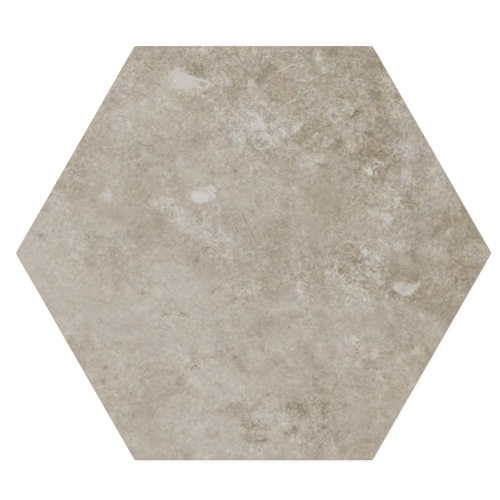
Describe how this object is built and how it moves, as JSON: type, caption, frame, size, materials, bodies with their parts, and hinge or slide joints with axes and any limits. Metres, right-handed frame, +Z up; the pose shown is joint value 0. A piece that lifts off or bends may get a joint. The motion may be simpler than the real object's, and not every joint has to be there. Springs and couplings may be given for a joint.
{
  "type": "hexagonal floor tile",
  "caption": "Flat hexagonal floor tile of pressed porcelain with a mottled stone-look glazed face, squared sides and a ribbed back.",
  "frame": {"origin": "middle of the bed plane, on which the ribs of the tile's back rest", "axes": "+Z up, out of the wearing face; X from corner to corner; Y across the two sides that lie parallel to X"},
  "size_m": [0.2006, 0.175, 0.009],
  "materials": {
    "glazed_porcelain": "matte"
  },
  "bodies": {
    "root": {"hexagon_tile": "glazed_porcelain"}
  },
  "joints": []
}
